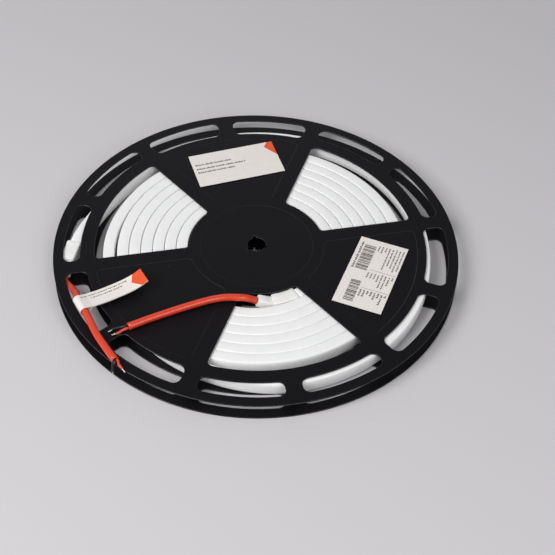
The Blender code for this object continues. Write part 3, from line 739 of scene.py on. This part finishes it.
def stripes(start, end, low, high, seed):
    """A block of dark stripes of uneven width across the label's length."""
    bars, place, count = [], round(start / STROKE), seed
    while place < round(end / STROKE):
        wide = 1 + (count * count + 3 * count) % 11 // 5
        wide = min(wide, round(end / STROKE) - place)
        bars.append((block(place * STROKE, (place + wide) * STROKE, low, high), BLACK_INK))
        place += wide + 1 + (count * 7) % 5 // 3
        count += 1
    return bars


def printed_sheet(length, width, prints):
    """A sheet from x = 0 with its top at z = 0, cut along its prints: convex outlines and their inks."""
    shape = bmesh.new()
    verts = bmesh.ops.create_grid(shape, x_segments=1, y_segments=1, size=0.5)["verts"]
    bmesh.ops.scale(shape, vec=(length, width, 1), verts=verts)
    bmesh.ops.translate(shape, vec=(length / 2, 0, 0), verts=verts)
    cuts = {}
    for outline, _ in prints:
        for a, b in zip(outline, outline[1:] + outline[:1]):
            across = Vector((b[1] - a[1], a[0] - b[0], 0)).normalized()
            if across.x + across.y / 2 < 0:
                across.negate()
            reach = round(across.x * a[0] + across.y * a[1], 6)
            cuts[(round(across.x, 4), round(across.y, 4), reach)] = across
    for (_, _, reach), across in cuts.items():
        bmesh.ops.bisect_plane(shape, geom=shape.verts[:] + shape.edges[:] + shape.faces[:],
                               plane_co=across * reach, plane_no=across, dist=1e-7)
    for face in shape.faces:
        spot = face.calc_center_median()
        for outline, ink in prints:
            if all((b[0] - a[0]) * (spot.y - a[1]) > (b[1] - a[1]) * (spot.x - a[0])
                   for a, b in zip(outline, outline[1:] + outline[:1])):
                face.material_index = ink
                break
    bare = bmesh.ops.extrude_face_region(shape, geom=shape.faces[:], use_keep_orig=True)["geom"]
    verts = [v for v in bare if isinstance(v, bmesh.types.BMVert)]
    bmesh.ops.translate(shape, vec=(0, 0, -PAPER), verts=verts)
    bmesh.ops.recalc_face_normals(shape, faces=shape.faces)
    for face in shape.faces:
        if face.normal.z < 0.5:
            face.material_index = 0
    return shape


def label(name, node, inset, place, turn, prints):
    shape = printed_sheet(LABEL_LENGTH, LABEL_WIDTH, prints)
    middle = Matrix.Translation(polar(WINDOW_OUTER - inset, place, LABEL_TOP))
    middle = middle @ Matrix.Rotation(turn, 4, "Z")
    bmesh.ops.transform(shape, matrix=middle @ Matrix.Translation((-LABEL_LENGTH / 2, 0, 0)),
                        verts=shape.verts)
    show(name, shape, [label_paper, black_print, orange_print], [node])


# Smooth coated label paper, faintly warm, with a low sheen and a very fine mottle
label_paper, shader, place = finish_with("coated_label_paper", "#e6e0db", 0.5)
mottle = add_node(label_paper, "ShaderNodeTexNoise", {"Scale": 120.0, "Detail": 4.0},
                  {"Vector": place}).outputs["Fac"]
tone = add_node(label_paper, "ShaderNodeMix",
                {"data_type": "RGBA", 6: linear("#e6dfd9"), 7: linear("#f0eae5")}, {0: mottle}).outputs[2]
label_paper.node_tree.links.new(tone, shader.inputs["Base Color"])

# Black thermal print, a dark warm grey that varies with the printer's pressure
black_print, shader, place = finish_with("black_thermal_print", "#3c3735", 0.55)
mottle = add_node(black_print, "ShaderNodeTexNoise", {"Scale": 500.0}, {"Vector": place}).outputs["Fac"]
tone = add_node(black_print, "ShaderNodeMix",
                {"data_type": "RGBA", 6: linear("#2d2928"), 7: linear("#564f4b")}, {0: mottle}).outputs[2]
black_print.node_tree.links.new(tone, shader.inputs["Base Color"])

# Flat orange printing ink, slightly uneven in its coverage
orange_print, shader, place = finish_with("orange_offset_ink", "#ee5226", 0.5)
mottle = add_node(orange_print, "ShaderNodeTexNoise", {"Scale": 300.0}, {"Vector": place}).outputs["Fac"]
tone = add_node(orange_print, "ShaderNodeMix",
                {"data_type": "RGBA", 6: linear("#ea4a20"), 7: linear("#f2602e")}, {0: mottle}).outputs[2]
orange_print.node_tree.links.new(tone, shader.inputs["Base Color"])

# The far label has three rows of print at its left and an orange corner
far_edge, top_edge = LABEL_LENGTH + OVERHANG, LABEL_WIDTH / 2 + OVERHANG
prints = [([(0.886 * LABEL_LENGTH, 0.365 * LABEL_WIDTH), (far_edge, 0.04 * LABEL_WIDTH), (far_edge, top_edge),
            (0.943 * LABEL_LENGTH, top_edge)], ORANGE_INK)]
for down, end in ((0.33, 0.46), (0.456, 0.62), (0.569, 0.49)):
    prints += text_row(0.04 * LABEL_LENGTH, end * LABEL_LENGTH, (0.5 - down) * LABEL_WIDTH, 0.0020)
label("far_paper_label", "label_far", *FAR_LABEL, prints)

# The side label has two blocks of stripes with a row of marks, and three groups of eight short rows
prints = []
for start, end, left, seed in ((0.095, 0.465, 0.14, 3), (0.635, 0.94, 0.18, 8)):
    prints += stripes((1 - end) * LABEL_LENGTH, (1 - start) * LABEL_LENGTH, 0.114 * LABEL_WIDTH,
                      (0.5 - left) * LABEL_WIDTH, seed)
prints += text_row(0.53 * LABEL_LENGTH, 0.94 * LABEL_LENGTH, 0.415 * LABEL_WIDTH, 0.0020)
for rule in (0.441, 0.7145):
    prints.append((block((1 - rule) * LABEL_LENGTH - 0.00015, (1 - rule) * LABEL_LENGTH + 0.00015,
                         -0.475 * LABEL_WIDTH, 0.065 * LABEL_WIDTH), BLACK_INK))
for start, ends in ((0.055, (0.15, 0.165, 0.135, 0.39, 0.32, 0.345, 0.39, 0.36)),
                    (0.465, (0.56, 0.557, 0.56, 0.586, 0.665, 0.67, 0.603, 0.515)),
                    (0.735, (0.835, 0.837, 0.785, 0.804, 0.837, 0.80, 0.893, 0.77))):
    for row, end in enumerate(ends):
        prints += text_row((1 - end) * LABEL_LENGTH, (1 - start) * LABEL_LENGTH,
                           (0.06 - 0.0715 * row) * LABEL_WIDTH, 0.0014 if start < 0.7 else 0.0018)
label("side_paper_label", "label_side", *SIDE_LABEL, prints)

# The flag: in along its upper layer, round the lead and out along the lower one
along = polar(1, FLAG_HEADING)
across = polar(1, FLAG_HEADING - pi / 2)
lead_middle = Vector(OUTER_LEAD[4]) + Vector((0, 0, REEL_HEIGHT))
tail = smooth_route([Vector((x, 0, z)) for x, z in FLAG_TAIL], 0.0020)
upper, lower = [], []
for i, point in enumerate(tail):
    ahead = (tail[min(i + 1, len(tail) - 1)] - tail[max(i - 1, 0)]).normalized()
    upper.append(point + Vector((-ahead.z, 0, ahead.x)) * FLAG_LAYER)
    lower.append(point - Vector((-ahead.z, 0, ahead.x)) * FLAG_LAYER)
circle = arc(Vector(), SHEATH_RADIUS + FLAG_LOOP_ROOM, radians(60), radians(300), 20)
loop = [Vector((p.x, 0, p.y)) for p in circle]
path = [lead_middle + along * p.x + Vector((0, 0, p.z)) for p in upper[::-1] + loop + lower]
reached = [0.0]
for a, b in zip(path, path[1:]):
    reached.append(reached[-1] + (b - a).length)
side_edge = FLAG_WIDTH / 2 + OVERHANG
prints = [([(-OVERHANG, -side_edge), (0.0081, -side_edge), (0.0124, -0.0005), (0.0059, side_edge),
            (-OVERHANG, side_edge)], ORANGE_INK)]
prints += text_row(0.0150, 0.0570, -0.30 * FLAG_WIDTH, 0.0011)
prints += text_row(0.0210, 0.0500, -0.10 * FLAG_WIDTH, 0.0011)
shape = printed_sheet(reached[-1], FLAG_WIDTH, prints)
for reach in reached[1:-1]:
    bmesh.ops.bisect_plane(shape, geom=shape.verts[:] + shape.edges[:] + shape.faces[:],
                           plane_co=(reach, 0, 0), plane_no=(1, 0, 0), dist=1e-7)
for vert in shape.verts:
    i = max(k for k in range(len(path) - 1) if reached[k] <= vert.co.x + 1e-9)
    share = (vert.co.x - reached[i]) / (reached[i + 1] - reached[i])
    here, there = [(path[min(k + 1, len(path) - 1)] - path[max(k - 1, 0)]).normalized() for k in (i, i + 1)]
    outward = here.lerp(there, share).normalized().cross(across)
    vert.co = path[i].lerp(path[i + 1], share) + across * vert.co.y + outward * (vert.co.z + PAPER / 2)
bmesh.ops.recalc_face_normals(shape, faces=shape.faces)
for face in shape.faces:
    face.smooth = True
flag = show("paper_flag", shape, [label_paper, black_print, orange_print], ["flag_label"])
flag.data.set_sharp_from_angle(angle=radians(40))

# The outer lead comes last, because it carries the flag
lead("outer", OUTER_SPIGOT_TIP, outer_along, OUTER_LEAD,
     [("black", OUTER_BLACK, core_step, black_wire, "black_insulation"),
      ("red", OUTER_RED, -core_step, red_wire, "red_insulation")], [flag])

# Floor and light
# A plain pale table under broad, soft light from the left, with the room darker behind.
shape = bmesh.new()
bmesh.ops.create_grid(shape, x_segments=1, y_segments=1, size=4.0)
bmesh.ops.translate(shape, vec=(0, 0, -0.0001), verts=shape.verts)
mesh = bpy.data.meshes.new("table_top")
shape.to_mesh(mesh)
shape.free()
table_paint, shader, place = finish_with("matt_table", "#cfcccf", 0.85)
mesh.materials.append(table_paint)
table_top = bpy.data.objects.new("table_top", mesh)
bpy.context.collection.objects.link(table_top)

world = bpy.data.worlds.new("room")
world.use_nodes = True
world.node_tree.nodes["Background"].inputs["Color"].default_value = (0.95, 0.97, 1.0, 1.0)
world.node_tree.nodes["Background"].inputs["Strength"].default_value = 0.23
bpy.context.scene.world = world
for name, spot, size, power in (("key", (-1.2, -0.9, 1.5), 1.2, 34.5),
                                ("fill", (0.9, -1.3, 1.3), 1.2, 13.0),
                                ("rim", (-0.2, 1.6, 0.9), 1.0, 1.6)):
    light = bpy.data.objects.new(name, bpy.data.lights.new(name, "AREA"))
    light.data.size = size
    light.data.energy = power
    light.location = spot
    light.rotation_euler = (Vector((0, 0, 0)) - Vector(spot)).to_track_quat("-Z", "Y").to_euler()
    bpy.context.collection.objects.link(light)
bpy.context.scene.view_settings.view_transform = "Standard"
